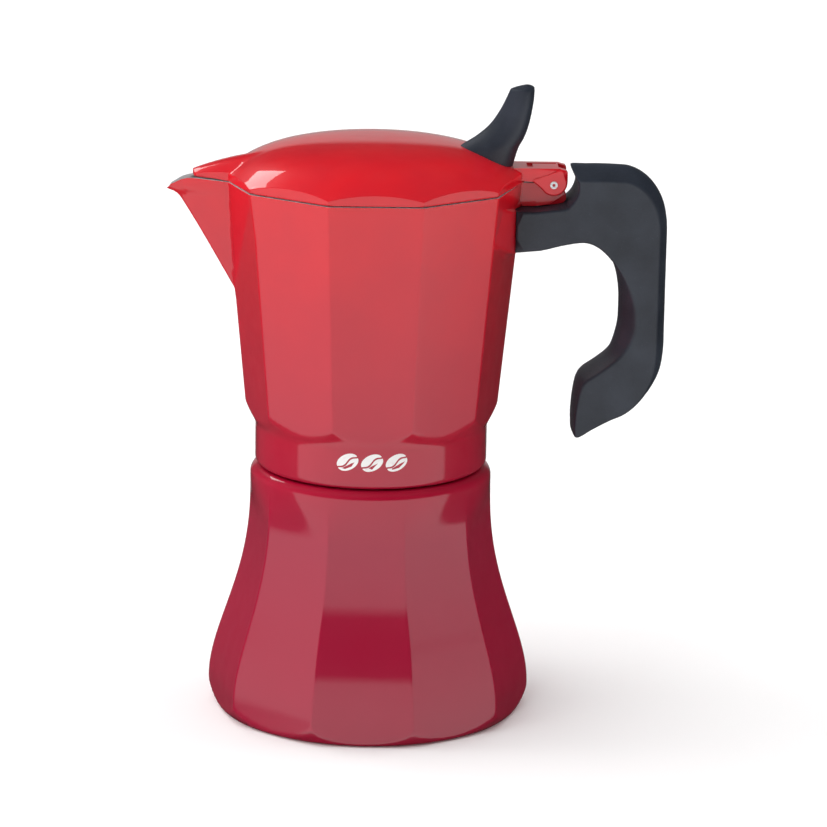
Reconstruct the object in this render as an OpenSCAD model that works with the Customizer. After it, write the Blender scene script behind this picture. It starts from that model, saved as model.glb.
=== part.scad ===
// Ten-sided stove-top moka pot in lacquered cast aluminium, for an induction hob.
// Millimetres. The origin is the centre of the underside and +Z is up.
// +X points at the handle, -X at the spout, and -Y is the front with the emblem.

/* [Boiler] */
// Corner radius of the boiler where it is widest
boiler_r = 51; // [49:0.5:53]
// Height at which the boiler is widest
boiler_wide_z = 7.5; // [6:0.5:9]
// Radius of the boiler just below its shoulder
waist_r = 38; // [37:0.25:39]
// Height of the top of the flared facets
shoulder_z = 75.5; // [74.5:0.25:76.5]
// Angle at which the boiler's facets stop against those of the collector
boiler_turn = -2.3; // [-4:0.1:4]
// Thickness of the boiler's wall behind a facet
boiler_wall = 3.4; // [3:0.1:4]
// Radius of the steel disc in the underside
disc_r = 40; // [36:0.5:42]

/* [Screw thread] */
// Root radius of the boiler's neck
neck_r = 31.4; // [31.2:0.05:31.5]
// Rise of the thread for each turn
pitch = 3.5; // [3.3:0.1:3.6]
// Turns from tight to free
thread_turns = 1.5; // [1.25:0.25:1.5]

/* [Collector] */
// Radius of the collar that screws onto the boiler
collar_r = 36.5; // [36:0.1:37]
// Corner radius of the jug's facets at their bottom
jug_low_r = 39.4; // [39:0.1:40]
// Corner radius of the jug at its rim
jug_rim_r = 46.6; // [46:0.1:47]
// Height of the jug's rim
rim_z = 169.7; // [169.5:0.05:169.8]
// Thickness of the jug's wall
jug_wall = 2.8; // [2.4:0.1:3]
// Height of the column's top
column_top_z = 152; // [140:1:158]

/* [Lid] */
// Height of the lid's crown
crown_z = 182.4; // [181.5:0.1:183]
// Thickness of the lid
lid_wall = 2.2; // [2:0.1:2.4]
// Height of the knob's tip
knob_top_z = 200.7; // [197:0.1:203]

/* [Handle] */
// Width of the handle across the pot
handle_w = 22; // [18:1:24]
// How far the handle's back is crowned
handle_crown = 3; // [1:0.5:3.5]

/* [Hinge] */
// Distance of the lid's hinge pin from the pot's axis
pin_x = 55.4; // [55.2:0.1:55.6]
// Height of the lid's hinge pin
pin_z = 169.8; // [169.7:0.05:169.9]
// Radius of the hinge pin
pin_r = 1.15; // [1:0.05:1.3]

/* [Hidden] */

$fn = 96;
lacquer = [0.78, 0.07, 0.10];
aluminium = [0.80, 0.80, 0.82];
steel = [0.68, 0.69, 0.71];
brass = [0.80, 0.62, 0.28];
black = [0.13, 0.15, 0.17];
silicone = [0.90, 0.90, 0.88];

sides = 10;
side_angle = 360 / sides;
apothem = cos(side_angle / 2);
eps = 0.05;

floor_z = 4.2;
disc_t = 1.2;
neck_in_r = 28.6;
neck_top_z = 90;
collar_low_z = 79.4;

thread_h = 1.5;
thread_gap = 0.4;
thread_root_w = 1.6;
thread_crest_w = 0.8;
male_z = 83.3;
female_z = male_z - pitch / 2;
female_crest_r = neck_r + thread_gap;
female_root_r = neck_r + thread_h + thread_gap + 0.1;

flange_t = 0.85;
gasket_t = 3;
plate_t = 0.7;
gasket_z = neck_top_z + flange_t + eps;
plate_z = gasket_z + gasket_t + eps;
seat_z = plate_z + plate_t + eps;
gasket_r = female_crest_r - 0.5;
gasket_in_r = 26.5;
jug_floor_z = 100.5;
basket_r = 28.1;
basket_wall = 0.8;
basket_low_z = 66;
stem_r = 5;

valve_z = 50;
boss_lift = 0.4;
valve_hex = 9.2;
valve_travel = 1.5;

lid_gap = 0.25;
lid_low_z = rim_z + lid_gap;
hinge_w = 13.3;
lug_w = 6;
cheek_gap = 0.3;
bar_top_z = 174.8;
bar_low_z = 170.6;
screw_x = 51;
arm_end_x = 43.8;
knob_x = 35;
knob_tilt = 19;

// ---------------------------------------------------------------- shared forms

function smooth(t) = let (u = max(0, min(1, t))) u * u * (3 - 2 * u);
function arc(c, r, from, to, n) =
    [for (i = [0:n]) let (a = from + (to - from) * i / n) c + r * [cos(a), sin(a)]];

// Radius of a rounded decagon at angle a, as a part of its corner radius
function facet(a, crisp) =
    let (u = a - side_angle * floor(a / side_angle) - side_angle / 2)
    1 - crisp + crisp * apothem / cos(u);

// Solid through a stack of rounded decagons, each given as [corner radius, height, crispness]
// and, where it is cut back to a circle, the circle's radius
module facet_loft(levels, per_side = 1) {
    n = sides * per_side;
    m = len(levels);
    points = [for (l = levels, i = [0:n - 1])
        let (a = 360 * i / n, full = l[0] * facet(a, l[2]), r = len(l) > 3 ? min(full, l[3]) : full)
        [r * cos(a), r * sin(a), l[1]]];
    walls = [for (j = [0:m - 2], i = [0:n - 1])
        let (k = (i + 1) % n, p = j * n, q = p + n)
        each [[p + i, q + i, q + k], [p + i, q + k, p + k]]];
    ends = [[for (i = [0:n - 1]) i], [for (i = [n - 1:-1:0]) (m - 1) * n + i]];
    polyhedron(points, concat(ends, walls));
}

// Convex solid through the given points
module convex(points) {
    hull() polyhedron(points, [[for (i = [0:len(points) - 1]) i]]);
}

// The given points and their mirror images across the XZ plane
function both_sides(points) = [for (p = points) each [p, [p[0], -p[1], p[2]]]];

// Helical ridge of a screw thread between radius root and radius crest
module thread_ridge(root, crest, start_z) {
    steps = 36 * thread_turns;
    section = [[root, -thread_root_w], [crest, -thread_crest_w],
        [crest, thread_crest_w], [root, thread_root_w]];
    points = [for (i = [0:steps], s = section)
        let (a = 360 * thread_turns * i / steps)
        [s[0] * cos(a), s[0] * sin(a), start_z + pitch * a / 360 + s[1] / 2]];
    flanks = [for (i = [0:steps - 1], k = [0:3])
        let (p = 4 * i, q = p + 4, l = (k + 1) % 4)
        each [[p + k, p + l, q + l], [p + k, q + l, q + k]]];
    ends = [[3, 2, 1, 0], [4 * steps, 4 * steps + 1, 4 * steps + 2, 4 * steps + 3]];
    faces = concat(flanks, ends);
    outward = crest > root;
    polyhedron(points, outward ? faces : [for (f = faces) [for (i = [len(f) - 1:-1:0]) f[i]]]);
}

// Rings of round holes, 6 more in each ring
module sieve_holes(rings, spacing, r, z, h) {
    for (k = [0:rings], i = [0:max(1, 6 * k) - 1])
        rotate([0, 0, 360 * i / max(1, 6 * k)])
            translate([k * spacing, 0, z]) cylinder(r = r, h = h, $fn = 16);
}

// ---------------------------------------------------------------- boiler

function flare_r(z) =
    let (t = max(0, (shoulder_z - z) / (shoulder_z - boiler_wide_z)))
    waist_r + (boiler_r - waist_r) * smooth(pow(t, 1.42));
function flare_crisp(z) = smooth((shoulder_z - z) / 14);

// Radius of the turned rounding of the foot at height z
function foot_r(z) = boiler_r + lookup(z, [[0, -4.4], [0.4, -3.4], [1.2, -2.6], [3.2, -1.2],
    [5.3, -0.3], [boiler_wide_z, 0.1]]);

module boiler_flare() {
    foot = [for (z = [0, 0.4, 1.2, 2.2, 3.2, 4.2, 5.3, 6.4]) [boiler_r, z, 1, foot_r(z)]];
    heights = [for (i = [0:11]) boiler_wide_z + (shoulder_z - boiler_wide_z) * i / 11];
    flare = [for (z = heights) [flare_r(z), z, flare_crisp(z)]];
    shoulder = [for (p = arc([waist_r - 3.2, shoulder_z], 3.2, 12, 84, 6)) [p[0], p[1], 0]];
    facet_loft(concat(foot, flare, shoulder), 4);
}

function cavity_r(z) = flare_r(z) * facet(side_angle / 2, flare_crisp(z)) - boiler_wall;

module boiler_cavity() {
    low = arc([cavity_r(9) - 5, floor_z + 5], 5, -90, 0, 5);
    wall = [for (z = [15.5:6:69.5]) [cavity_r(z), z]];
    throat = [[cavity_r(72), 72], [neck_in_r + 0.4, 77.5], [neck_in_r, 78.5],
        [neck_in_r, neck_top_z + 1], [0, neck_top_z + 1]];
    rotate_extrude() polygon(concat([[0, floor_z]], low, wall, throat));
}

// Places its children at the valve, with +Z pointing out of the boiler
module at_valve() {
    facet_y = flare_r(valve_z) * facet(side_angle / 2, flare_crisp(valve_z)) + boss_lift;
    rotate([0, 0, boiler_turn]) translate([0, facet_y, valve_z]) rotate([-90, 0, 0]) children();
}

module boiler_shell() {
    color(lacquer) difference() {
        union() {
            rotate([0, 0, boiler_turn]) boiler_flare();
            translate([0, 0, shoulder_z]) cylinder(r = neck_r, h = neck_top_z - shoulder_z);
            thread_ridge(neck_r - 0.4, neck_r + thread_h, male_z);
            at_valve() translate([0, 0, -3]) cylinder(r = 6.2, h = 4);
        }
        boiler_cavity();
        translate([0, 0, -1]) cylinder(r = disc_r + eps, h = disc_t + 1);
        at_valve() translate([0, 0, -12]) cylinder(r = 4, h = 20);
    }
}

module induction_disc() {
    holes = 12;
    color(steel) difference() {
        cylinder(r = disc_r, h = disc_t);
        for (i = [0:holes - 1])
            rotate([0, 0, 360 * i / holes]) translate([disc_r - 8, 0, -1])
                cylinder(r = 1.6, h = disc_t + 2);
    }
}

// ---------------------------------------------------------------- safety valve

module valve_washer() {
    color(silicone) at_valve() translate([0, 0, 1]) difference() {
        cylinder(r = 5.8, h = 0.8);
        translate([0, 0, -1]) cylinder(r = 4 + eps, h = 3);
    }
}

module valve_body() {
    color(brass) at_valve() difference() {
        union() {
            translate([0, 0, -7]) cylinder(r = 4 - eps, h = 9);
            translate([0, 0, 1.8]) cylinder(r = valve_hex / sqrt(3), h = 3.4, $fn = 6);
            translate([0, 0, 5.2]) cylinder(r = 3.7, h = 3.3);
        }
        translate([0, 0, -8]) cylinder(r = 2.9, h = 15.2);
        translate([0, 0, 6]) cylinder(r = 1.35, h = 4);
    }
}

module valve_seat() {
    color(brass) at_valve() translate([0, 0, -7]) difference() {
        cylinder(r = 2.85, h = 1.2);
        translate([0, 0, -1]) cylinder(r = 1.5, h = 4);
    }
}

module valve_piston() {
    color(steel) at_valve() union() {
        translate([0, 0, -5.7]) cylinder(r = 2.4, h = 1.5);
        translate([0, 0, -4.2]) cylinder(r = 1.25, h = 14.2);
    }
}

module valve_spring() {
    coils = 6;
    per_coil = 14;
    wire = 0.3;
    mean_r = 2.0;
    low = -3.8;
    rise = (6.8 - low) / (coils * per_coil);
    n = coils * per_coil;
    points = [for (i = [0:n], k = [0:5])
        let (a = 360 * i / per_coil, b = 60 * k, r = mean_r + wire * cos(b))
        [r * cos(a), r * sin(a), low + rise * i + wire * sin(b)]];
    skin = [for (i = [0:n - 1], k = [0:5])
        let (p = 6 * i, q = p + 6, l = (k + 1) % 6)
        each [[p + k, p + l, q + l], [p + k, q + l, q + k]]];
    ends = [[5, 4, 3, 2, 1, 0], [for (k = [0:5]) 6 * n + k]];
    color(steel) at_valve() polyhedron(points, concat(skin, ends));
}

// ---------------------------------------------------------------- coffee funnel

module funnel() {
    low_r = basket_r - basket_wall;
    outline = [
        [low_r, neck_top_z + flange_t], [female_crest_r - 0.8, neck_top_z + flange_t],
        [female_crest_r - 0.8, neck_top_z + eps], [basket_r, neck_top_z + eps],
        [basket_r, basket_low_z - 0.6], [stem_r, basket_low_z - 8], [stem_r, 7.4],
        [stem_r - 0.8, 7.4], [stem_r - 0.8, basket_low_z - 7.4],
        [low_r - 1.2, basket_low_z], [low_r, basket_low_z]];
    color(aluminium) rotate_extrude() polygon(outline);
}

module funnel_filter() {
    color(steel) difference() {
        translate([0, 0, basket_low_z + eps])
            cylinder(r = basket_r - basket_wall - eps, h = 0.8);
        sieve_holes(4, 5, 0.9, basket_low_z - 1, 3);
    }
}

module gasket() {
    color(silicone) translate([0, 0, gasket_z]) difference() {
        cylinder(r = gasket_r, h = gasket_t);
        translate([0, 0, -1]) cylinder(r = gasket_in_r, h = gasket_t + 2);
    }
}

module filter_plate() {
    color(steel) difference() {
        translate([0, 0, plate_z]) cylinder(r = gasket_r - 0.6, h = plate_t);
        sieve_holes(5, 4.4, 0.8, plate_z - 1, 3);
    }
}

// ---------------------------------------------------------------- collector

// Outline that rolls the jug's facets in to the round collar
module jug_envelope() {
    roll = [for (i = [0:8]) let (z = 91.5 + i * 1.125)
        [collar_r + 3.5 * smooth((z - 91.5) / 9), z]];
    rotate_extrude() polygon(concat([[0, 91.5]], roll, [[80, 101], [80, 200], [0, 200]]));
}

function jug_corner_r(z) = jug_low_r + (jug_rim_r - jug_low_r) * (z - 95) / (rim_z - 95);

module jug_body() {
    intersection() {
        facet_loft([[jug_corner_r(90), 90, 1], [jug_rim_r, rim_z, 1]]);
        jug_envelope();
    }
}

module collar() {
    edge = arc([collar_r - 1.9, collar_low_z + 1.9], 1.9, -90, 0, 5);
    rotate_extrude() polygon(concat([[0, collar_low_z]], edge, [[collar_r, 93.5], [0, 93.5]]));
}

// Points of the spout: half width at its root, and its rim, beak and keel
root_x = -45;
root_w = 8.2;
beak_x = -66.2;
keel_z = 133;
corner_angle = 180 - side_angle;
function jug_corner(z, inset = 0) = let (r = jug_corner_r(z) - inset)
    [r * cos(corner_angle), r * sin(corner_angle), z];

// Facets that widen towards the spout
module spout_flare() {
    convex(concat([[-jug_corner_r(keel_z), 0, keel_z], [-30, 0, keel_z + 5], [-30, 0, rim_z]],
        both_sides([jug_corner(rim_z), jug_corner(156), [root_x, root_w, rim_z],
            [-33, 20, rim_z], [-33, 20, 156]])));
}

module spout_outside() {
    convex(concat([[-jug_corner_r(keel_z), 0, keel_z], [-60.4, 0, 162], [-62, 0, 164.2],
            [-63.4, 0, 165.2], [beak_x, 0, 165.9], [-35, 0, keel_z + 5], [-35, 0, rim_z]],
        both_sides([[root_x, root_w, rim_z], [-43, 6.4, rim_z - 26], [-38, 6, rim_z],
            [-57.5, 3.6, rim_z + 0.3], [-61, 2.4, rim_z + 0.1], [-64, 1.3, 168.4],
            [beak_x, 0.6, 166.5]])));
}

module spout_channel() {
    convex(concat([[-41, 0, keel_z + 9], [-58.4, 0, 163.6], [-61, 0, 166.6],
            [beak_x - 1, 0, 167.2], [-30, 0, keel_z + 9], [-30, 0, rim_z + 9]],
        both_sides([[-43.6, 5.9, rim_z], [-30, 5.9, rim_z], [-57.2, 2, rim_z],
            [-60, 1.7, rim_z], [-43.6, 5.9, rim_z + 9], [beak_x - 1, 0.9, rim_z + 9],
            [-62.6, 0.9, 168.6]])));
}

// Flat pad that the handle's end bears on
module handle_pad() {
    convex(both_sides([[arm_end_x, 9, 149.6], [arm_end_x, 9, 160.4], [36, 24, 146.5],
        [37, 24, 163.5], [34, 10, 146], [34, 10, 164]]));
}

// Space that the handle's end takes out of the jug's corner
module handle_seat() {
    translate([arm_end_x - eps, -handle_w / 2 - 1, 147.6])
        cube([jug_rim_r - arm_end_x + 1, handle_w + 2, 14.9]);
}

// Lug of the collector, between the two cheeks of the lid
module hinge_lug() {
    difference() {
        across(lug_w) hinge_lug_profile();
        translate([screw_x, 0, 160]) cylinder(r = 1.5, h = 8.6);
    }
}

module hinge_lug_profile() {
    difference() {
        union() {
            polygon([[44, 162.35], [50, 162.35], [58.6, 163.35], [59.5, 164.8], [59, 167],
                [pin_x, 167], [pin_x, rim_z - eps], [44, rim_z - eps]]);
            translate([pin_x, pin_z]) circle(r = 3.1);
        }
        translate([pin_x, pin_z]) circle(r = pin_r);
    }
}

module jug_cavity() {
    inner = jug_wall / apothem;
    facet_loft([[jug_corner_r(jug_floor_z) - inner - 1.5, jug_floor_z, 0.6],
        [jug_corner_r(jug_floor_z + 2) - inner, jug_floor_z + 2.5, 1],
        [jug_rim_r - inner, rim_z + 0.01, 1], [jug_rim_r - inner, rim_z + 3, 1]], 2);
}

// Screwed bore, gasket seat and the chamber under the column
module collar_bore() {
    chamber_top = seat_z + 2.4;
    rotate_extrude() polygon([[0, collar_low_z - 1], [female_root_r + 0.6, collar_low_z - 1],
        [female_root_r, collar_low_z + 0.6], [female_root_r, gasket_z - 1.6],
        [female_crest_r, gasket_z - 0.6], [female_crest_r, seat_z], [gasket_in_r - 0.5, seat_z],
        [8, chamber_top], [0, chamber_top]]);
}

module collector_pot() {
    color(lacquer) union() {
        difference() {
            union() {
                jug_body();
                collar();
                spout_flare();
                spout_outside();
                handle_pad();
            }
            handle_seat();
            jug_cavity();
            spout_channel();
            collar_bore();
            translate([0, 0, seat_z]) cylinder(r = 6, h = 10);
        }
        thread_ridge(female_root_r + 0.3, female_crest_r, female_z);
        hinge_lug();
    }
}

module column() {
    low = seat_z + 2.6;
    color(aluminium) difference() {
        rotate_extrude() polygon(concat([[0, low], [6, low], [6, jug_floor_z + eps],
            [8.2, jug_floor_z + eps], [8.2, jug_floor_z + 1.2], [6.6, jug_floor_z + 2.4],
            [4.9, column_top_z - 4]],
            arc([1.4, column_top_z - 3.5], 3.5, 10, 90, 5), [[0, column_top_z]]));
        translate([0, 0, low - 1]) cylinder(r = 3.4, h = column_top_z - 4 - low);
        translate([0, 0, column_top_z - 7.5]) rotate([90, 0, 0]) cylinder(r = 1.7, h = 20, center = true);
    }
}

// ---------------------------------------------------------------- handle

// Stations along the handle: outer point [x, z], inner point [x, z], and how far the middle of
// each stands out from its edges, [dx, dz]
function handle_stations() = let (c = handle_crown) concat(
    [[[arm_end_x, 161.9], [arm_end_x, 148.8], [0, 0.4], [0, 0]],
        [[50, 162], [50, 149.5], [0, 0], [0, 0]]],
    [for (i = [0:6]) let (a = -62 + 13.3 * i, b = a + 0.75 * i * i, on = [pin_x, pin_z])
        [on + 7.6 * [cos(a), sin(a)], [56 + 1.8 * i, 150.9 + 0.2 * i],
            7.6 * [cos(b) - cos(a), sin(b) - sin(a)], [0, 0]]],
    [[[71, 172.2], [68.6, 151.4], [0, c], [0, 0]],
        [[76, 172.2], [70.4, 150.2], [0, c], [0, 0]]],
    [for (i = [1:5]) let (a = 90 - 18 * i, t = i / 5)
        [[76 + 12.2 * cos(a), 157 + 15.2 * sin(a)], [70.4 + 8.1 * t, 150.2 - 7.7 * t - 3 * t * t],
            c * [cos(a), sin(a)], [-1.2 * t, 0]]],
    [[[88.4, 142], [80.3, 135.6], [c, 0], [-3.6, 0]], [[88.4, 134], [81.6, 131], [c, 0], [-4.8, 0]],
        [[88.4, 124], [81.8, 125.5], [c, 0], [-5.2, 0]], [[88.2, 116], [80.2, 120.6], [c, 0], [-4.6, 0]]],
    [for (i = [1:5]) let (a = -15 * i, inner = [[77.6, 116.8], [74.1, 113.6], [70.1, 110.6],
            [66.1, 107.6], [64.4, 102.5]][i - 1])
        [[70 + 18.2 * cos(a), 116 + 21 * sin(a)], inner, [c * cos(a) * cos(a), 0],
            [-3.4 + 0.5 * i, 0.4]]],
    [[[65, 90.2], [63.6, 96], [0, 0], [-0.9, 0]], [[64.3, 90.3], [63.7, 90.8], [0, 0], [0, 0]]]);

module handle_solid() {
    stations = handle_stations();
    k = len(stations);
    n = 2 * k;
    outline = concat([for (s = stations) [s[0], s[2]]],
        [for (i = [k - 1:-1:0]) [stations[i][1], stations[i][3]]]);
    slices = [-1, -0.75, -0.4, 0, 0.4, 0.75, 1];
    points = [for (s = slices, o = outline)
        let (p = o[0] + o[1] * (1 - s * s)) [p[0], s * handle_w / 2, p[1]]];
    skin = [for (j = [0:len(slices) - 2], i = [0:n - 1])
        let (l = (i + 1) % n, p = j * n, q = p + n)
        each [[p + i, q + i, q + l], [p + i, q + l, p + l]]];
    last = n * (len(slices) - 1);
    ends = [for (i = [0:k - 2])
        each [[i, i + 1, n - 2 - i, n - 1 - i],
            [last + n - 1 - i, last + n - 2 - i, last + i + 1, last + i]]];
    polyhedron(points, concat(skin, ends));
}

module handle() {
    color(black) difference() {
        handle_solid();
        translate([screw_x, 0, 140]) cylinder(r = 1.7, h = 30);
        translate([screw_x, 0, 140]) cylinder(r = 3.3, h = 13);
    }
}

module handle_screw() {
    color(steel) difference() {
        union() {
            translate([screw_x, 0, 150.4]) cylinder(r = 2.9, h = 2.6);
            translate([screw_x, 0, 153]) cylinder(r = 1.5, h = 15);
        }
        translate([screw_x - 0.4, -4, 150]) cube([0.8, 8, 1.6]);
    }
}

// ---------------------------------------------------------------- lid

// Height of the lid's outer surface at radius r from the axis
dome_bend = 0.0019;
dome_edge_bend = 0.00315;
function dome_z(r) = crown_z - dome_bend * r * r - dome_edge_bend * pow(r / 10, 5);

module dome(drop = 0) {
    rotate_extrude() polygon(concat([[0, 150]], [[54, 150]],
        [for (r = [54:-3:0]) [r, dome_z(r) - drop]]));
}

// Roof over the spout and the widened facets beside it
module nose() {
    low = lid_low_z;
    root = [root_x - 0.1, root_w, low];
    convex(concat([[-34, 0, low], [-34, 0, 178], [-44.5, 0, 176.2]],
        both_sides([root, root + [0, 0, 3.2], jug_corner(rim_z) + [0, 0, lid_gap],
            jug_corner(rim_z) + [0.2, 0, lid_gap + 1.6], [-32, 18, low], [-32, 18, 174]])));
    convex(concat([[-40, 0, low], [-40, 0, 176.8], [-44.5, 0, 176.2], [-56.4, 0, 172.7],
            [-56.4, 0, low + 0.55]],
        both_sides([root, root + [0, 0, 3.2], [-55.2, 3.9, low + 0.5], [-55.2, 3.9, 172],
            [-56.2, 2, low + 0.55], [-56.2, 2, 172.3], [-40, 6, low], [-40, 6, 174]])));
}

module nose_hollow() {
    convex(concat([[-53.6, 0, 171.2], [-30, 0, 174.5], [-54, 0, 168], [-30, 0, 168]],
        both_sides([[-43.5, 5.6, 172], [-43.5, 5.6, 168], [-53, 1.9, 170.9], [-53, 1.9, 168],
            [-30, 5.6, 168], [-30, 5.6, 172]])));
}

// Bar and rounded cheeks of the hinge, seen from the side
module hinge_profile() {
    union() {
        polygon([[38, bar_low_z], [pin_x, bar_low_z], [pin_x, bar_top_z], [38, bar_top_z]]);
        translate([pin_x, bar_top_z - 4.3]) circle(r = 4.3);
    }
}

module across(w) {
    translate([0, w / 2, 0]) rotate([90, 0, 0]) linear_extrude(w) children();
}

module lid() {
    inside_r = jug_rim_r - 2.6;
    color(lacquer) difference() {
        union() {
            intersection() {
                dome();
                translate([0, 0, lid_low_z]) cylinder(r = jug_rim_r + 0.1, h = 40, $fn = 10);
            }
            nose();
            across(hinge_w) hinge_profile();
        }
        intersection() {
            dome(lid_wall);
            translate([0, 0, lid_low_z - 1]) cylinder(r = inside_r, h = 40, $fn = 10);
        }
        nose_hollow();
        across(lug_w + 2 * cheek_gap)
            polygon([[47.5, 150], [70, 150], [70, 180], [pin_x + 1.5, 180],
                [pin_x + 1.5, 173.3], [47.5, 173.3]]);
        across(hinge_w + 2) translate([pin_x, pin_z]) circle(r = pin_r + 0.06);
        translate([47.2, 2.2, 173.9]) cube([9.2, 1.3, 4]);
        translate([47.2, -3, 173.9]) cube([1.8, 6, 4]);
        at_knob() translate([0, 0, -8]) cylinder(r = 2.1, h = 16);
        at_knob() translate([0, 0, -8 - lid_wall]) cylinder(r = 4.4, h = 8);
    }
}

module hinge_pin() {
    color(steel) difference() {
        across(hinge_w + 0.8) translate([pin_x, pin_z]) circle(r = pin_r);
        for (s = [-1, 1])
            translate([pin_x, s * (hinge_w / 2 + 0.4), pin_z]) rotate([90, 0, 0])
                cylinder(r = 0.5, h = 3, center = true);
    }
}

// ---------------------------------------------------------------- knob

// Places its children on the lid under the knob, with +Z square to the dome
module at_knob() {
    translate([knob_x, 0, dome_z(knob_x)]) rotate([0, knob_tilt, 0]) children();
}

// Egg-shaped sections: [inner x, outer x, half depth, height]
function knob_levels() = let (top = knob_top_z) [
    [20, 42, 8.6, top - 29], [22, 43, 8.5, top - 24], [26.2, 44.6, 8.2, top - 20],
    [31.2, 46.2, 7.7, top - 17], [35.5, 47.4, 7.1, top - 13.2], [38.6, 48.4, 6.4, top - 8.4],
    [40.7, 49, 5.7, top - 4], [41.6, 49.1, 5, top - 2], [43.4, 48.4, 3.2, top - 0.6],
    [45.4, 47.6, 1.2, top]];

module knob_solid() {
    n = 24;
    levels = knob_levels();
    points = [for (l = levels, i = [0:n - 1])
        let (a = 360 * i / n, mid = (l[0] + l[1]) / 2, half = (l[1] - l[0]) / 2)
        [mid + half * cos(a), l[2] * sin(a) * (1 + 0.35 * cos(a)), l[3]]];
    skin = [for (j = [0:len(levels) - 2], i = [0:n - 1])
        let (k = (i + 1) % n, p = j * n, q = p + n)
        each [[p + i, q + i, q + k], [p + i, q + k, p + k]]];
    last = n * (len(levels) - 1);
    ends = [[for (i = [0:n - 1]) i], [for (i = [n - 1:-1:0]) last + i]];
    polyhedron(points, concat(skin, ends));
}

module lid_knob() {
    color(black) difference() {
        knob_solid();
        dome(-2 * eps);
        at_knob() translate([0, 0, -2]) cylinder(r = 1.5, h = 11);
    }
}

module knob_screw() {
    color(steel) at_knob() difference() {
        union() {
            translate([0, 0, -lid_wall - 3]) cylinder(r = 3.2, h = 2.2);
            translate([0, 0, -lid_wall - 0.9]) cylinder(r = 1.5, h = 10.5);
        }
        translate([-0.4, -4, -lid_wall - 4]) cube([0.8, 8, 2]);
    }
}

module knob_washer() {
    color(steel) at_knob() translate([0, 0, -lid_wall - 0.75]) difference() {
        cylinder(r = 4, h = 0.7);
        translate([0, 0, -1]) cylinder(r = 1.6, h = 3);
    }
}

boiler_shell();
induction_disc();
valve_body();
valve_washer();
valve_piston();
valve_spring();
valve_seat();
funnel();
funnel_filter();
gasket();
filter_plate();
collector_pot();
column();
handle();
handle_screw();
hinge_pin();
lid();
lid_knob();
knob_screw();
knob_washer();
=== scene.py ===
"""Looks of a ten-sided stove-top moka pot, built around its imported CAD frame."""

import math

import bmesh
import bpy
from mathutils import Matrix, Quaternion, Vector


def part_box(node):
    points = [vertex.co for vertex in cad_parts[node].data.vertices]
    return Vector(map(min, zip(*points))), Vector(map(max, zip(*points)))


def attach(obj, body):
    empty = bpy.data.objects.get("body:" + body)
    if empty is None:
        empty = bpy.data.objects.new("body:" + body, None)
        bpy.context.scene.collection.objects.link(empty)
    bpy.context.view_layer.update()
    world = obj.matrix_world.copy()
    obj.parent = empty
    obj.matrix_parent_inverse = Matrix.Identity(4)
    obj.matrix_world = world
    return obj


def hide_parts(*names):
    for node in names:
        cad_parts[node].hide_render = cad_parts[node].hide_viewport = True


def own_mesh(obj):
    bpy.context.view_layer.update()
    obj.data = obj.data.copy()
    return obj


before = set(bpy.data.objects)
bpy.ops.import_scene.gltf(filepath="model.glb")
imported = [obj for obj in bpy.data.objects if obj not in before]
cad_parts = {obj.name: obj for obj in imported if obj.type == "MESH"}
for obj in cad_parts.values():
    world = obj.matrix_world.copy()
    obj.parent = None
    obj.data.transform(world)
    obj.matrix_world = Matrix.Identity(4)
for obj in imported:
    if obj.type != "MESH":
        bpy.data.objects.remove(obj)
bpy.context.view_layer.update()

MM = 0.001

# ------------------------------------------------------------------ numbers, mm


def clamp(t, low=0.0, high=1.0):
    return max(low, min(high, t))


def smooth(t):
    t = clamp(t)
    return t * t * (3 - 2 * t)


def mix(a, b, t):
    return a + (b - a) * t


def soft_min(a, b, k):
    """The smaller of a and b, rounded off where they differ by less than k."""
    h = clamp(0.5 + (b - a) / (2 * k))
    return mix(b, a, h) - k * h * (1 - h)


def soft_max(a, b, k):
    return -soft_min(-a, -b, k)


def table(knots, x):
    """Value at x of the smooth curve through knots, a rising list of (x, y)."""
    if x <= knots[0][0]:
        return knots[0][1]
    if x >= knots[-1][0]:
        return knots[-1][1]
    j = max(i for i in range(len(knots) - 1) if knots[i][0] <= x)
    slopes = []
    for i in (j, j + 1):
        if 0 < i < len(knots) - 1:
            before = (knots[i][1] - knots[i - 1][1]) / (knots[i][0] - knots[i - 1][0])
            after = (knots[i + 1][1] - knots[i][1]) / (knots[i + 1][0] - knots[i][0])
            slopes.append(0 if before * after <= 0 else 2 * before * after / (before + after))
        else:
            k = min(max(i, 1), len(knots) - 1)
            slopes.append((knots[k][1] - knots[k - 1][1]) / (knots[k][0] - knots[k - 1][0]))
    (x0, y0), (x1, y1) = knots[j], knots[j + 1]
    w = x1 - x0
    t = (x - x0) / w
    return (
        y0 * (1 + 2 * t) * (1 - t) ** 2 + slopes[0] * w * t * (1 - t) ** 2
        + y1 * t * t * (3 - 2 * t) + slopes[1] * w * t * t * (t - 1)
    )


def arc(cx, cy, r, start, end, n):
    """Points of a circle's arc, from angle start to end in degrees."""
    turn = [math.radians(mix(start, end, i / n)) for i in range(n + 1)]
    return [(cx + r * math.cos(a), cy + r * math.sin(a)) for a in turn]


def catmull_rom(a, b, c, d, t):
    """Point at t, from b to c, of the smooth curve through a, b, c and d."""
    return tuple(
        0.5 * (2 * q + (r - p) * t + (2 * p - 5 * q + 4 * r - w) * t * t + (3 * q - p - 3 * r + w) * t ** 3)
        for p, q, r, w in zip(a, b, c, d))


# ------------------------------------------------------------------ meshes


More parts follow.
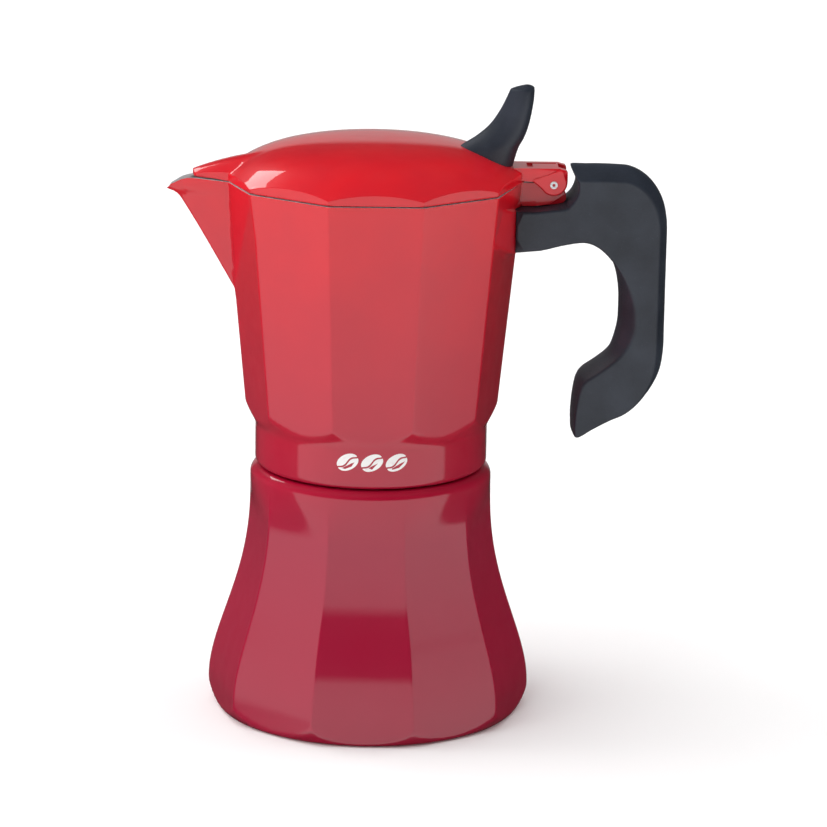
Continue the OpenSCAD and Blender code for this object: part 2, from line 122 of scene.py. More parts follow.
def make(name, points, faces, body, materials, face_slots=None, crisp=False):
    """A mesh object from points in mm, with the given materials and, if face_slots is given, one of them for
    each face. It rides on body.
    """
    mesh = bpy.data.meshes.new(name)
    mesh.from_pydata([tuple(c * MM for c in p) for p in points], [], faces)
    for m in materials:
        mesh.materials.append(m)
    if face_slots:
        for polygon, index in zip(mesh.polygons, face_slots):
            polygon.material_index = index
    bm = bmesh.new()
    bm.from_mesh(mesh)
    bmesh.ops.recalc_face_normals(bm, faces=bm.faces)
    bm.to_mesh(mesh)
    bm.free()
    for polygon in mesh.polygons:
        polygon.use_smooth = not crisp
    obj = bpy.data.objects.new(name, mesh)
    bpy.context.collection.objects.link(obj)
    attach(obj, body)
    return obj


def even_normals(obj, sharp_angle=None):
    """Keeps large faces flat and lets the narrow ones between them carry the curve."""
    if sharp_angle:
        split = obj.modifiers.new("split", "EDGE_SPLIT")
        split.split_angle = math.radians(sharp_angle)
        split.use_edge_sharp = False
    weighted = obj.modifiers.new("normals", "WEIGHTED_NORMAL")
    weighted.weight = 90
    weighted.keep_sharp = True


def ring(row, angles):
    """The points of a row, a function from an angle in degrees to (radius, z)."""
    points = []
    for a in angles:
        r, z = row(a)
        points.append((r * math.cos(math.radians(a)), r * math.sin(math.radians(a)), z))
    return points


def level(r, z):
    """A round row at one height."""
    return lambda a: (r, z)


def lathe(rows, angles, closed=False):
    """Skin through rows of equal count. An open stack is closed at each end by a fan."""
    return skin([ring(row, angles) for row in rows], closed)


def skin(rings, closed=False):
    """Points, faces and the row that each face starts on, of a skin through rings."""
    n, m = len(rings[0]), len(rings)
    points = [p for r in rings for p in r]
    faces, rows_of_faces = [], []
    for j in range(m if closed else m - 1):
        p, q = j * n, (j + 1) % m * n
        for i in range(n):
            k = (i + 1) % n
            faces.append((p + i, p + k, q + k, q + i))
            rows_of_faces.append(j)
    if not closed:
        for start, j in ((0, 0), ((m - 1) * n, m - 2)):
            middle = tuple(sum(c) / n for c in zip(*points[start:start + n]))
            points.append(middle)
            for i in range(n):
                faces.append((start + i, start + (i + 1) % n, len(points) - 1))
                rows_of_faces.append(j)
    return points, faces, rows_of_faces


def to_segment(p, a, b):
    """Distance from p to the segment a b."""
    d = b - a
    t = clamp((p - a).dot(d) / max(d.length_squared, 1e-12))
    return (p - a - d * t).length


def inset_outline(outline, amount):
    """The XZ outline, clockwise, moved inwards by amount; points that would cross are spread out."""
    n = len(outline)
    points = [Vector(p[:2]) for p in outline]
    if amount < 1e-6:
        return points
    moved, good = [], []
    for i in range(n):
        d = (points[(i + 1) % n] - points[i - 1]).normalized()
        q = points[i] + Vector((d.y, -d.x)) * amount
        near = min(to_segment(q, points[j], points[(j + 1) % n]) for j in range(n))
        moved.append(q)
        good.append(near > 0.93 * amount)
    for i in range(n):
        if not good[i]:
            before = next(k for k in range(1, n) if good[(i - k) % n])
            after = next(k for k in range(1, n) if good[(i + k) % n])
            moved[i] = moved[(i - before) % n].lerp(moved[(i + after) % n], before / (before + after))
    return moved


def rounded_edge(half, bevel, n=3):
    """Steps of a rounded rim as (distance across, inset), from the face to the side."""
    turn = [math.pi / 2 * i / n for i in range(n + 1)]
    return [(half - bevel * (1 - math.cos(t)), bevel * (1 - math.sin(t))) for t in turn]


def slab(outline, half, bevel, middle=(), lean=None):
    """Skin of a clockwise XZ outline from y = -half to half, with rounded rims.
    middle lists further positions across, and lean gives each point's shift at the middle."""
    steps = rounded_edge(half, bevel) + [(y, 0) for y in middle]
    insets = {inset: inset_outline(outline, inset) for _, inset in steps}
    spans = [(-y, i) for y, i in steps] + ([(0, 0)] if middle else []) + [(y, i) for y, i in reversed(steps)]
    rings = []
    for y, inset in spans:
        share = 1 - (y / half) ** 2
        shift = lean or [(0, 0)] * len(outline)
        rings.append([(p.x + d[0] * share, y, p.y + d[1] * share)
                      for p, d in zip(insets[inset], shift)])
    n, m = len(outline), len(rings)
    faces = [(j * n + i, j * n + (i + 1) % n, (j + 1) * n + (i + 1) % n, (j + 1) * n + i)
             for j in range(m - 1) for i in range(n)]
    faces += [tuple(range(n - 1, -1, -1)), tuple((m - 1) * n + i for i in range(n))]
    return [p for r in rings for p in r], faces


def apply_modifiers(obj):
    """Bakes the object's modifiers into its mesh."""
    depsgraph = bpy.context.evaluated_depsgraph_get()
    mesh = bpy.data.meshes.new_from_object(obj.evaluated_get(depsgraph))
    obj.modifiers.clear()
    obj.data = mesh


def cut(obj, boxes):
    """Takes boxes, each a low and a high corner in mm, out of obj."""
    for low, high in boxes:
        bm = bmesh.new()
        bmesh.ops.create_cube(bm, size=1)
        for v in bm.verts:
            v.co = Vector([mix(a, b, c + 0.5) * MM for a, b, c in zip(low, high, v.co)])
        mesh = bpy.data.meshes.new("cutter")
        bm.to_mesh(mesh)
        bm.free()
        cutter = bpy.data.objects.new("cutter", mesh)
        bpy.context.collection.objects.link(cutter)
        boolean = obj.modifiers.new("cut", "BOOLEAN")
        boolean.operation = "DIFFERENCE"
        boolean.object = cutter
        boolean.solver = "EXACT"
        apply_modifiers(obj)
        bpy.data.objects.remove(cutter)


# ------------------------------------------------------------------ materials


def nodes_of(name):
    """A new material with its tree, its shader and the object's coordinates."""
    m = bpy.data.materials.new(name)
    m.use_nodes = True
    tree = m.node_tree
    tree.nodes.clear()
    out = tree.nodes.new("ShaderNodeOutputMaterial")
    shader = tree.nodes.new("ShaderNodeBsdfPrincipled")
    tree.links.new(shader.outputs[0], out.inputs[0])
    where = tree.nodes.new("ShaderNodeTexCoord").outputs["Object"]
    return m, tree, shader, where


def noise(tree, where, size, detail=2.0, stretch=None):
    """Noise between 0 and 1 with features of about size mm."""
    if stretch:
        scale = tree.nodes.new("ShaderNodeMapping")
        scale.inputs["Scale"].default_value = stretch
        tree.links.new(where, scale.inputs["Vector"])
        where = scale.outputs[0]
    n = tree.nodes.new("ShaderNodeTexNoise")
    n.inputs["Scale"].default_value = 1 / (size * MM)
    n.inputs["Detail"].default_value = detail
    tree.links.new(where, n.inputs["Vector"])
    return n.outputs["Fac"]


def ramp(tree, value, low, high, a, b):
    """value mapped from low..high to a..b."""
    n = tree.nodes.new("ShaderNodeMapRange")
    for key, number in zip(("From Min", "From Max", "To Min", "To Max"), (low, high, a, b)):
        n.inputs[key].default_value = number
    tree.links.new(value, n.inputs["Value"])
    return n.outputs[0]


def blend_colours(tree, value, a, b):
    """Colour from a to b as value goes from 0 to 1."""
    n = tree.nodes.new("ShaderNodeMix")
    n.data_type = "RGBA"
    for socket, colour in ((n.inputs["A"], a), (n.inputs["B"], b)):
        if isinstance(colour, tuple):
            socket.default_value = (*colour, 1)
        else:
            tree.links.new(colour, socket)
    tree.links.new(value, n.inputs["Factor"])
    return n.outputs["Result"]


def bump(tree, shader, height, depth, strength, coat=False):
    """Relief of about depth mm, on the coat too if there is one."""
    n = tree.nodes.new("ShaderNodeBump")
    n.inputs["Strength"].default_value = strength
    n.inputs["Distance"].default_value = depth * MM
    tree.links.new(height, n.inputs["Height"])
    tree.links.new(n.outputs[0], shader.inputs["Normal"])
    if coat:
        tree.links.new(n.outputs[0], shader.inputs["Coat Normal"])


def height_of(tree, where):
    """The Z coordinate alone."""
    n = tree.nodes.new("ShaderNodeSeparateXYZ")
    tree.links.new(where, n.inputs[0])
    return n.outputs["Z"]


def lacquer():
    """Glossy baked red lacquer, one red with painted shade: darker crimson low on the boiler, brighter
    scarlet towards the lid.
    """
    m, tree, shader, where = nodes_of("red_lacquer")
    # Painted shade: by height alone, the red darkens from the lid down to the boiler.
    rise = ramp(tree, height_of(tree, where), 0.06, 0.175, 0, 1)
    base = blend_colours(tree, rise, (0.31, 0.0015, 0.028), (0.66, 0.004, 0.012))
    cloud = ramp(tree, noise(tree, where, 22, 3), 0.35, 0.65, 0, 0.16)
    deeper = blend_colours(tree, cloud, base, (0.30, 0.001, 0.02))
    tree.links.new(deeper, shader.inputs["Base Color"])
    gloss = ramp(tree, noise(tree, where, 9, 4), 0.3, 0.7, 0.30, 0.40)
    tree.links.new(gloss, shader.inputs["Roughness"])
    shader.inputs["Specular IOR Level"].default_value = 0.25
    shader.inputs["Coat Weight"].default_value = 1.0
    shader.inputs["Coat Roughness"].default_value = 0.03
    shader.inputs["Coat IOR"].default_value = 1.5
    bump(tree, shader, noise(tree, where, 2.2, 2), 0.010, 0.5, coat=True)
    return m


def moulded_plastic():
    """Matte black phenolic with a fine grain and duller patches where it is handled."""
    m, tree, shader, where = nodes_of("black_plastic")
    patches = ramp(tree, noise(tree, where, 14, 4), 0.35, 0.7, 0, 1)
    base = blend_colours(tree, patches, (0.012, 0.016, 0.025), (0.024, 0.030, 0.044))
    grain = noise(tree, where, 0.45, 3)
    specks = ramp(tree, grain, 0.62, 0.78, 0, 0.35)
    tree.links.new(blend_colours(tree, specks, base, (0.07, 0.082, 0.105)), shader.inputs["Base Color"])
    tree.links.new(ramp(tree, grain, 0.3, 0.7, 0.42, 0.58), shader.inputs["Roughness"])
    bump(tree, shader, grain, 0.05, 0.5)
    return m


def cast_aluminium():
    """Bare cast metal with coffee-stained patches and a sandy grain."""
    m, tree, shader, where = nodes_of("bare_aluminium")
    stain = ramp(tree, noise(tree, where, 12, 5), 0.35, 0.7, 0, 1)
    tree.links.new(
        blend_colours(tree, stain, (0.66, 0.66, 0.68), (0.80, 0.80, 0.81)), shader.inputs["Base Color"])
    grain = noise(tree, where, 0.8, 4)
    tree.links.new(ramp(tree, grain, 0.3, 0.7, 0.28, 0.45), shader.inputs["Roughness"])
    shader.inputs["Metallic"].default_value = 0.55
    bump(tree, shader, grain, 0.03, 0.5)
    return m


def brushed_steel():
    """Steel with fine scratches along X."""
    m, tree, shader, where = nodes_of("steel")
    lines = noise(tree, where, 0.5, 3, stretch=(0.08, 1.0, 1.0))
    tree.links.new(
        blend_colours(tree, ramp(tree, lines, 0.3, 0.7, 0, 1), (0.50, 0.51, 0.53), (0.68, 0.69, 0.71)),
        shader.inputs["Base Color"])
    tree.links.new(ramp(tree, lines, 0.3, 0.7, 0.22, 0.38), shader.inputs["Roughness"])
    shader.inputs["Metallic"].default_value = 0.7
    bump(tree, shader, lines, 0.01, 0.4)
    return m


def turned_brass():
    """Brass with tarnish and turning marks round Y."""
    m, tree, shader, where = nodes_of("brass")
    tarnish = ramp(tree, noise(tree, where, 3, 4), 0.35, 0.7, 0, 1)
    tree.links.new(
        blend_colours(tree, tarnish, (0.60, 0.42, 0.16), (0.78, 0.60, 0.28)), shader.inputs["Base Color"])
    rings = noise(tree, where, 0.4, 2, stretch=(0.1, 1.0, 0.1))
    tree.links.new(ramp(tree, rings, 0.3, 0.7, 0.2, 0.36), shader.inputs["Roughness"])
    shader.inputs["Metallic"].default_value = 0.7
    bump(tree, shader, rings, 0.01, 0.4)
    return m


def soft_rubber(name, dark, light):
    """Matte rubber or fibre, cloudy between two shades."""
    m, tree, shader, where = nodes_of(name)
    cloud = ramp(tree, noise(tree, where, 6, 3), 0.3, 0.7, 0, 1)
    tree.links.new(blend_colours(tree, cloud, dark, light), shader.inputs["Base Color"])
    grain = noise(tree, where, 0.6, 2)
    tree.links.new(ramp(tree, grain, 0.3, 0.7, 0.55, 0.72), shader.inputs["Roughness"])
    bump(tree, shader, grain, 0.02, 0.4)
    return m


def print_white():
    """Pad-printed ink, a little thin in places."""
    m, tree, shader, where = nodes_of("white_print")
    thin = ramp(tree, noise(tree, where, 1.2, 4), 0.55, 0.8, 0, 0.5)
    tree.links.new(
        blend_colours(tree, thin, (0.86, 0.84, 0.83), (0.72, 0.52, 0.54)), shader.inputs["Base Color"])
    shader.inputs["Roughness"].default_value = 0.35
    bump(tree, shader, noise(tree, where, 0.5, 2), 0.01, 0.4)
    return m


RED = lacquer()
BLACK = moulded_plastic()
ALU = cast_aluminium()
STEEL = brushed_steel()
BRASS = turned_brass()
SILICONE = soft_rubber("silicone", (0.62, 0.62, 0.60), (0.78, 0.78, 0.76))
FIBRE = soft_rubber("fibre", (0.30, 0.06, 0.04), (0.45, 0.11, 0.08))
WHITE = print_white()

CARRIED_OVER = (
    (STEEL, ("induction_disc", "valve_piston", "funnel_filter", "filter_plate", "handle_screw", "hinge_pin",
             "knob_screw", "knob_washer")),
    (BRASS, ("valve_body", "valve_seat")),
    (ALU, ("funnel", "column")),
    (SILICONE, ("gasket",)),
    (FIBRE, ("valve_washer",)),
)
for finish, names in CARRIED_OVER:
    for node in names:
        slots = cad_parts[node].data.materials
        slots.clear()
        slots.append(finish)

# ------------------------------------------------------------------ shared sections
# Below, R is a radius or a distance from the axis, Z a height and X a place along X, all in mm.

SIDES = 10
SIDE = 360 / SIDES
COS_HALF = math.cos(math.radians(SIDE / 2))
EDGE = 0.28


def decagon(a, corner_r, edge=EDGE):
    """Radius at angle a of a decagon with a corner at 0 degrees and slightly rounded edges."""
    u = abs(a % SIDE - SIDE / 2)
    apothem = corner_r * COS_HALF
    near = apothem / math.cos(math.radians(u))
    next_side = apothem / math.cos(math.radians(SIDE - u))
    return soft_min(near, next_side, edge)


def both_sides(middle, offsets):
    """Angles at the offsets on either side of the middle."""
    return [middle + s * d for d in offsets for s in (-1, 1)]


def ring_angles(turn=0.0, extra=()):
    """Angles that crowd at the decagon's corners, and extra ones."""
    steps = (0, 0.16, 0.33, 0.55, 0.85, 1.4, 2.6, 4.8, 8, 12.5)
    angles = {round((turn + SIDE * k + s * d) % 360, 4)
              for k in range(SIDES) for d in steps for s in (-1, 1)}
    angles |= {round((turn + SIDE * (k + 0.5)) % 360, 4) for k in range(SIDES)}
    angles |= {round(a % 360, 4) for a in extra}
    return sorted(angles)


# ------------------------------------------------------------------ boiler

# The boiler stands TURN degrees from where its corners would meet the jug's.
TURN = -2.3
WAIST_R, WIDE_R = 38.0, 51.0
SHOULDER_Z, WIDE_Z, TOP_Z = 75.5, 7.5, 79.1
FLARE_LOW_Z, FLARE_HIGH_Z = 10.2, 74.5
BOILER_WALL = 3.4
SHOULDER_R = 3.4
RECESS_R = 40.05
NECK_R, NECK_IN_R, NECK_Z = 31.4, 28.6, 90.0
# The foot's radius by height.
FOOT = [(0, 46.6), (0.4, 47.7), (1.2, 48.5), (3.2, 49.9), (5.3, 50.8), (7.5, 51.2), (9, 51.4)]


def flare_r(z):
    """Corner radius of the boiler at height z."""
    t = max(0.0, (SHOULDER_Z - z) / (SHOULDER_Z - WIDE_Z))
    return WAIST_R + (WIDE_R - WAIST_R) * smooth(t ** 1.42)


def flat_share(z):
    """How far the boiler's section at height z is a decagon rather than a circle."""
    return smooth((SHOULDER_Z - z) / 14)


def flare_row(z):
    """Row of the boiler's outside, rounded off at the foot."""
    crisp = flat_share(z)
    corner = flare_r(max(z, WIDE_Z))

    def row(a):
        r = mix(corner, decagon(a - TURN, corner), crisp)
        if z < 10:
            r = soft_min(r, table(FOOT, z), 0.25)
        return r, z
    return row


def facet_r(z):
    """Distance of the boiler's facets from its axis."""
    return flare_r(z) * mix(1, COS_HALF, flat_share(z))


def wall_in_r(z):
    """Radius of the boiler's inside."""
    return facet_r(z) - BOILER_WALL


def boiler():
    """Cast boiler from the recess under it, over the outside and the neck, to the inside's floor."""
    recess = [level(20, 1.2), level(38, 1.2), level(RECESS_R - 0.15, 1.2), level(RECESS_R, 1.05),
              level(RECESS_R, 0.15), level(RECESS_R + 0.15, 0), level(43, 0), level(46.2, 0)]
    foot = [flare_row(z) for z in [0.02, 0.2, 0.4] + [0.7 + 0.35 * i for i in range(27)]]
    flare = [flare_row(mix(FLARE_LOW_Z, FLARE_HIGH_Z, i / 60)) for i in range(61)]
    shoulder = [level(r, z)
                for r, z in arc(WAIST_R - SHOULDER_R, SHOULDER_Z + 0.2, SHOULDER_R, 4, 82, 9)]
    neck = [level(34, TOP_Z), level(NECK_R + 0.6, TOP_Z), level(NECK_R + 0.1, TOP_Z + 0.2),
            level(NECK_R, TOP_Z + 0.7), level(NECK_R, NECK_Z - 0.6), level(NECK_R - 0.2, NECK_Z - 0.15),
            level(NECK_R - 0.6, NECK_Z), level(NECK_IN_R + 0.4, NECK_Z), level(NECK_IN_R, NECK_Z - 0.4)]
    inside = [level(NECK_IN_R, 78.5), level(NECK_IN_R + 0.4, 77.5)]
    inside += [level(wall_in_r(z), z) for z in range(72, 12, -4)]
    low_r = wall_in_r(12)
    inside += [level(r, z) for r, z in arc(low_r - 6, 10.2, 6, 0, -90, 8)] + [level(12, 4.2)]
    rows = recess + foot + flare + shoulder + neck + inside
    points, faces, row_of = lathe(rows, ring_angles(TURN))
    red_rows = range(len(recess) - 2, len(recess) + len(foot) + len(flare) + len(shoulder) + 1)
    slots = [0 if j in red_rows else 1 for j in row_of]
    obj = make("boiler", points, faces, "boiler", [RED, ALU], slots)
    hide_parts("boiler_shell")
    even_normals(obj)


def thread(name, body, root, crest, start_z):
    """Helical ridge of one and a half turns with run-out at both ends."""
    pitch, turns, steps, run_out = 3.5, 1.5, 150, 8
    rings = []
    for i in range(steps + 1):
        a = 360 * turns * i / steps
        full = smooth(min(i, steps - i) / run_out)
        top = mix(root, crest, mix(0.08, 1, full))
        z = start_z + pitch * a / 360
        section = [(root, -0.8), (mix(root, top, 0.82), -0.5), (top, -0.32), (top, 0.32),
                   (mix(root, top, 0.82), 0.5), (root, 0.8)]
        rings.append([(r * math.cos(math.radians(a)), r * math.sin(math.radians(a)), z + d)
                      for r, d in section])
    points, faces, _ = skin(rings)
    even_normals(make(name, points, faces, body, [ALU]), 50)


VALVE_Z, VALVE_TRAVEL = 50.0, 1.5


def valve_boss():
    """Raised round seat of the safety valve on the back facet."""
    out = facet_r(VALVE_Z) + 0.4
    profile = [(1.5, 0.95), (4.05, 0.95), (4.2, 1.0), (5.6, 1.0), (6.0, 0.88), (6.2, 0.5), (6.3, 0),
               (6.9, -0.9), (7.4, -2.2)]
    n = 48
    rings = []
    for r, lift in profile:
        loop = []
        for i in range(n):
            a = 2 * math.pi * i / n
            p = Vector((r * math.cos(a), out + lift, VALVE_Z + r * math.sin(a)))
            p.rotate(Quaternion((0, 0, 1), math.radians(TURN)))
            loop.append(tuple(p))
        rings.append(loop)
    points, faces, _ = skin(rings)
    even_normals(make("valve_boss", points, faces, "boiler", [RED]), 60)


def valve_spring():
    """Coil of the valve's spring, built at one length in the CAD spring's place. In the valve the piston
    shortens it as it lifts, and its outer end stays where it is.
    """
    coil_r, wire_r, length = 2.0, 0.3, 10.6
    coils, per_coil, wire_sides = 6, 24, 8
    low, high = (Vector(corner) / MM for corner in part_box("valve_spring"))
    turn = math.radians(TURN)
    out = Vector((-math.sin(turn), math.cos(turn), 0))
    across = Vector((math.cos(turn), math.sin(turn), 0))
    middle = (low + high) / 2
    rings = []
    for i in range(coils * per_coil + 1):
        a = 2 * math.pi * i / per_coil
        radial = across * math.cos(a) + Vector((0, 0, 1)) * math.sin(a)
        centre = middle + out * length * (i / (coils * per_coil) - 0.5)
        rings.append([tuple(centre + radial * (coil_r + wire_r * math.cos(b)) + out * wire_r * math.sin(b))
                      for b in (2 * math.pi * j / wire_sides for j in range(wire_sides))])
    points, faces, _ = skin(rings)
    spring = make("coil_spring", points, faces, "boiler", [STEEL])
    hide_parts("valve_spring")
    even_normals(spring)
    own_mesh(spring)


# ------------------------------------------------------------------ collector

COLLAR_R, COLLAR_Z, COLLAR_ROUND = 36.5, 79.4, 1.9
RIM_Z, JUG_R0, JUG_R1 = 169.7, 39.4, 46.6
FLOOR_Z, SEAT_Z = 100.5, 94.7
JUG_WALL = 2.8
# The spout starts at SPOUT_Z and takes up SPOUT_REACH degrees on either side of its keel.
SPOUT_Z, SPOUT_R, SPOUT_REACH = 133, 43.1, 24
# Above UPPER_Z the rows of the jug's skin follow the rim and the handle's pad.
UPPER_Z, RIM_DROP = 131.5, 0.25
# The keel's distance from the axis by height, and the rim's height by degrees from the keel.
KEEL = [(SPOUT_Z, SPOUT_R), (162, 60.4), (164.1, 61.9), (165.1, 63.2), (166.2, 66.0), (168.5, 68.6),
        (170.3, 66.6)]
LIP = [(0, 166.2), (0.6, 166.6), (1.8, 168.4), (2.8, 169.8), (3.7, 170.25), (5.5, 170.15),
       (10.3, 169.85), (12.5, 169.7)]
# Where the spout's sides leave the jug at the rim.
ROOT_X, ROOT_W = 45.1, 8.2


def jug_r(z):
    """Corner radius of the jug at height z."""
    return JUG_R0 + (JUG_R1 - JUG_R0) * (z - 95) / (RIM_Z - 95)


def plane(a, b, c):
    """Normal and distance of the plane through three points."""
    n = (Vector(b) - Vector(a)).cross(Vector(c) - Vector(a)).normalized()
    return n, n.dot(Vector(a))


CORNER_A = math.radians(180 - SIDE)
FLARE = plane((jug_r(156) * math.cos(CORNER_A), jug_r(156) * math.sin(CORNER_A), 156),
              (-jug_r(SPOUT_Z), 0, SPOUT_Z), (-ROOT_X, ROOT_W, RIM_Z))


def to_plane(face, a, z):
    """Radius at which the plane is met, in direction a at height z."""
    n, d = face
    return (d - n.z * z) / (n.x * math.cos(a) + n.y * math.sin(a))


def from_keel(a):
    """How far angle a is from the spout's direction, in degrees."""
    return abs(a % 360 - 180)


def beside_spout(a, z, corner_r):
    """Jug radius where its last facets widen towards the spout."""
    off = from_keel(a)
    folded = math.radians(180 - off)
    apothem = corner_r * COS_HALF
    own = apothem / math.cos(math.radians(off - SIDE / 2))
    front = apothem / math.cos(math.radians(1.5 * SIDE - off))
    return soft_min(max(own, to_plane(FLARE, folded, z)), front, EDGE)


def spout_r(a, z, inset=0.0):
    """Radius of the spout's two sides, which meet in the keel."""
    off = math.radians(math.hypot(from_keel(a), 0.45))
    rise = clamp((z - SPOUT_Z) / (RIM_Z - SPOUT_Z), 0, 1.1)
    keel = Vector((-table(KEEL, z), 0))
    root = Vector((-mix(SPOUT_R, ROOT_X, rise), max(0.01, ROOT_W * rise)))
    side = (root - keel).normalized()
    ray = Vector((-math.cos(off), math.sin(off)))
    reach = keel.x * side.y - keel.y * side.x
    return (abs(reach) - inset) / abs(ray.x * side.y - ray.y * side.x)


# The pad's flank is a plane: x and y of its normal, and its distance from the axis.
PAD_SIDE = (0.9068, 0.4211, 44.35)
PAD_LOW, PAD_HIGH, PAD_RIM = 148.8, 162.0, 0.5
# The handle's end sits against a flat at SEAT_X.
SEAT_X = 43.75


def from_handle(a):
    """How far angle a is from the handle's direction, in degrees."""
    return abs((a + 180) % 360 - 180)


def pad_slopes(a):
    """How much the pad's lower and upper borders rise towards the jug's corner."""
    off = from_handle(a)
    across = 44.5 * math.sin(math.radians(min(off, SIDE))) - 11
    fade = clamp((2 * SIDE - off) / SIDE)
    return 0.334 * max(0.0, across) * fade, 0.276 * max(0.0, across) * fade


def follow_pad(a, z):
    """Height that a row of the jug's skin takes at angle a, along the pad's borders."""
    low, high = pad_slopes(a)
    if z < PAD_LOW - PAD_RIM:
        return z + low * clamp((z - UPPER_Z) / (PAD_LOW - PAD_RIM - UPPER_Z))
    if z > PAD_HIGH + PAD_RIM:
        return z + high * clamp((RIM_Z - z) / (RIM_Z - PAD_HIGH - PAD_RIM))
    return z + mix(low, high, (z - PAD_LOW) / (PAD_HIGH - PAD_LOW))


def pad_r(a, z):
    """Radius of the flat pad beside the handle's end."""
    x, y = math.cos(math.radians(a)), abs(math.sin(math.radians(a)))
    low, high = pad_slopes(a)
    beyond = max(0.0, PAD_LOW + low - z, z - PAD_HIGH - high)
    return PAD_SIDE[2] / (PAD_SIDE[0] * x + PAD_SIDE[1] * y) - 3 * beyond


def jug_out(a, z):
    """Outer radius of the jug: facets, spout, handle pad and the roll above the collar."""
    corner = jug_r(z)
    off = from_keel(a)
    r = beside_spout(a, z, corner) if z > 132 and off < SIDE + 4 else decagon(a, corner)
    if z > SPOUT_Z + 0.3 and off < SPOUT_REACH:
        r = soft_max(r, spout_r(a, z), 0.25)
    off = from_handle(a)
    if z > 140 and off < SIDE:
        r = max(r, pad_r(a, z))
    if PAD_LOW - 0.3 < z < PAD_HIGH + 0.3 and off < 20:
        r = min(r, SEAT_X / math.cos(math.radians(off)))
    if z < 104:
        roll = COLLAR_R + 3.6 * smooth((z - 91.5) / 9) + max(0.0, z - 100) * 2
        r = soft_min(r, roll, 0.22)
    return r


def lip_z(a):
    """Height of the jug's rim, which rises and dips towards the spout."""
    return table(LIP, from_keel(a))


def jug_in(a, z):
    """Inner radius of the jug."""
    r = decagon(a, jug_r(z) - JUG_WALL / COS_HALF, 0.9)
    if z > 141 and from_keel(a) < SPOUT_REACH:
        r = soft_max(r, spout_r(a, z, 1.25), 0.3)
    return r


def upper_shares():
    """Where the rows of the jug's upper part lie, from 0 at UPPER_Z to 1 at the rim."""
    levels = [mix(UPPER_Z, PAD_LOW - PAD_RIM, i / 20) for i in range(21)]
    levels += [mix(PAD_LOW, PAD_HIGH, i / 16) for i in range(17)]
    levels += [mix(PAD_HIGH + PAD_RIM, RIM_Z - RIM_DROP, i / 9) for i in range(10)]
    return [(z - UPPER_Z) / (RIM_Z - RIM_DROP - UPPER_Z) for z in levels]


def wall_row(share, radius):
    """Row of the jug's upper part, outside or inside, by the function that gives its radius."""
    def row(a):
        z = mix(UPPER_Z, lip_z(a) - RIM_DROP, share)
        if radius is jug_out:
            z = follow_pad(a, z)
        return radius(a, z), z
    return row


def lip_row(share, drop):
    """Row across the jug's rim, from the outside at 0 to the inside at 1."""
    def row(a):
        z = lip_z(a)
        return mix(jug_out(a, z), jug_in(a, z), share), z - drop
    return row


def floor_row(inset, z):
    """Row where the jug's wall rounds into its floor."""
    floor_r = jug_r(FLOOR_Z) - JUG_WALL / COS_HALF
    return lambda a: (decagon(a, floor_r, 1.5) - inset, z)


def collector():
    """Jug with its collar: up the screwed bore, over the outside and the rim, down to the floor."""
    extra = both_sides(180, (3.2, 4, 5.6, 6.6, 7.4, 8.8, 9.4, 9.8, 10.2, 10.6, 11, 11.5, 14, 16))
    extra += both_sides(0, (11, 11.4, 11.8, 12.2, 20, 25, 29, 30.5, 32))
    bore = [level(r, z) for r, z in (
        (6.05, FLOOR_Z - 0.3), (6.05, 97.3), (6.3, 97.1), (8, 97.1), (25.6, 94.8), (26, SEAT_Z),
        (31.7, SEAT_Z), (31.8, SEAT_Z - 0.1), (31.8, 90.3), (33.4, 89.3), (33.4, 80.2),
        (34, COLLAR_Z + 0.2), (34.3, COLLAR_Z))]
    collar = [level(r, z)
              for r, z in arc(COLLAR_R - COLLAR_ROUND, COLLAR_Z + COLLAR_ROUND, COLLAR_ROUND, -88, 0, 8)]
    collar += [level(COLLAR_R, z) for z in (83, 86, 89, 91)]
    heights = [91.5 + 0.4 * i for i in range(24)] + [101.4 + 3.5 * i for i in range(9)]
    outside = [(lambda a, z=z: (jug_out(a, z), z)) for z in heights]
    outside += [wall_row(share, jug_out) for share in upper_shares()]
    rim = [lip_row(0.03, 0.1), lip_row(0.12, 0), lip_row(0.88, 0), lip_row(0.97, 0.1)]
    inside = [wall_row(share, jug_in) for share in reversed(upper_shares())]
    inside += [(lambda a, z=z: (jug_in(a, z), z)) for z in (126, 120, 113, 107, 104)]
    floor = [floor_row(0.1, 103), floor_row(0.5, 101.6), floor_row(1.3, 100.8), floor_row(2.4, FLOOR_Z),
             level(20, FLOOR_Z), level(6.4, FLOOR_Z)]
    rows = bore + collar + outside + rim + inside + floor
    points, faces, row_of = lathe(rows, ring_angles(0, extra), closed=True)
    first_red = len(bore) - 1
    last_red = first_red + len(collar) + len(outside)
    slots = [0 if first_red <= j <= last_red else 1 for j in row_of]
    obj = make("collector", points, faces, "collector", [RED, ALU], slots)
    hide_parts("collector_pot")
    even_normals(obj)


# The lid's hinge pin.
PIN_X, PIN_Z = 55.4, 169.8


def hinge_lug():
    """Lug of the jug, between the two cheeks of the lid's hinge."""
    outline = [(44, 162.35), (50.2, 162.35), (54.5, 162.85), (58.4, 163.35), (59.5, 164.6),
               (59.4, 166.4), (58.6, 168.2)]
    outline += arc(PIN_X, PIN_Z, 3.1, -10, 183, 16) + [(50, 169.6), (44, 169.6)]
    points, faces = slab(outline[::-1], 3.0, 0.35)
    even_normals(make("hinge_lug", points, faces, "collector", [RED]), 40)


def collar_print(outlines):
    """Thin plates on the collar's front. Outlines are points of (distance across, z)."""
    points, faces = [], []
    for outline in outlines:
        start, n = len(points), len(outline)
        for r in (COLLAR_R - 0.1, COLLAR_R + 0.05):
            for u, z in outline:
                a = -math.pi / 2 + u / COLLAR_R
                points.append((r * math.cos(a), r * math.sin(a), z))
        faces.append(tuple(start + i for i in range(n)))
        faces.append(tuple(start + n + i for i in range(n - 1, -1, -1)))
        for i in range(n):
            k = (i + 1) % n
            faces.append((start + i, start + k, start + n + k, start + n + i))
    return points, faces


